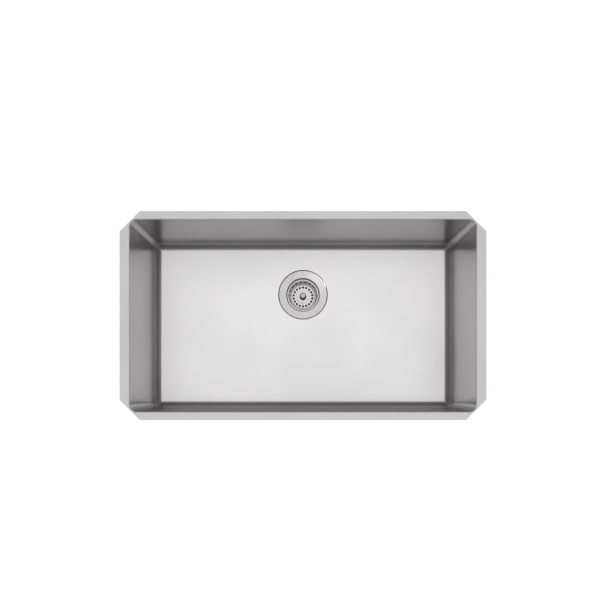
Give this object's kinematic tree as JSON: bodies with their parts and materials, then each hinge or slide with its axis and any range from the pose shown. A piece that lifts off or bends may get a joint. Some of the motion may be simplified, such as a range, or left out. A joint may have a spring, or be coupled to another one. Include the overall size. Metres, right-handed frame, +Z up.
{
  "type": "undermount kitchen sink",
  "caption": "Single-bowl undermount kitchen sink of pressed stainless steel with a rear-set basket strainer, lift-out basket stopper and tailpiece.",
  "frame": {"origin": "middle of the bowl's opening, on the top face of the rim flange", "axes": "+Z up, out of the bowl and normal to the rim flange; +X along the long side; -Y is the front, where the user stands, and the drain lies towards +Y"},
  "size_m": [0.74, 0.422, 0.362],
  "materials": {
    "bowl_steel": "satin stainless, finely brushed",
    "pad_rubber": "matt sound-deadening rubber",
    "strainer_steel": "turned satin stainless",
    "basket_steel": "bright stainless, punched",
    "knob_steel": "polished",
    "small_steel": "plain stainless",
    "stopper_rubber": "smooth black rubber",
    "gasket_rubber": "matt black rubber",
    "seal_rubber": "pale sealing ring",
    "friction_card": "pressed fibre",
    "cast_brass": "cast and turned",
    "plated_nut": "polished plating",
    "plated_tube": "polished plating",
    "washer_plastic": "polyethylene"
  },
  "bodies": {
    "root": {"bowl": "bowl_steel", "sound_pad_front": "pad_rubber", "sound_pad_back": "pad_rubber", "sound_pad_left": "pad_rubber", "sound_pad_right": "pad_rubber", "sound_pad_bottom_left": "pad_rubber", "sound_pad_bottom_right": "pad_rubber", "strainer_body": "strainer_steel", "flange_seal": "seal_rubber", "under_gasket": "gasket_rubber", "friction_ring": "friction_card", "locknut": "cast_brass", "outlet_spud": "cast_brass", "tailpiece_washer": "washer_plastic", "tailpiece": "plated_tube", "coupling_nut": "plated_nut"},
    "stopper_stem": {"knob_post": "knob_steel", "backing_washer": "small_steel", "stopper_washer": "stopper_rubber", "clamp_washer": "small_steel", "stem_nut": "small_steel", "stem_clip": "small_steel"},
    "basket_cup": {"basket": "basket_steel"}
  },
  "joints": [
    {"name": "basket_lift", "type": "slide", "parent": "root", "child": "stopper_stem", "axis": [0, 0, 1], "range_m": [0, 0.27]},
    {"name": "basket_spin", "type": "hinge", "parent": "stopper_stem", "child": "basket_cup", "pos_m": [0, 0.074, -0.2335], "axis": [0, 0, 1], "continuous": true}
  ]
}
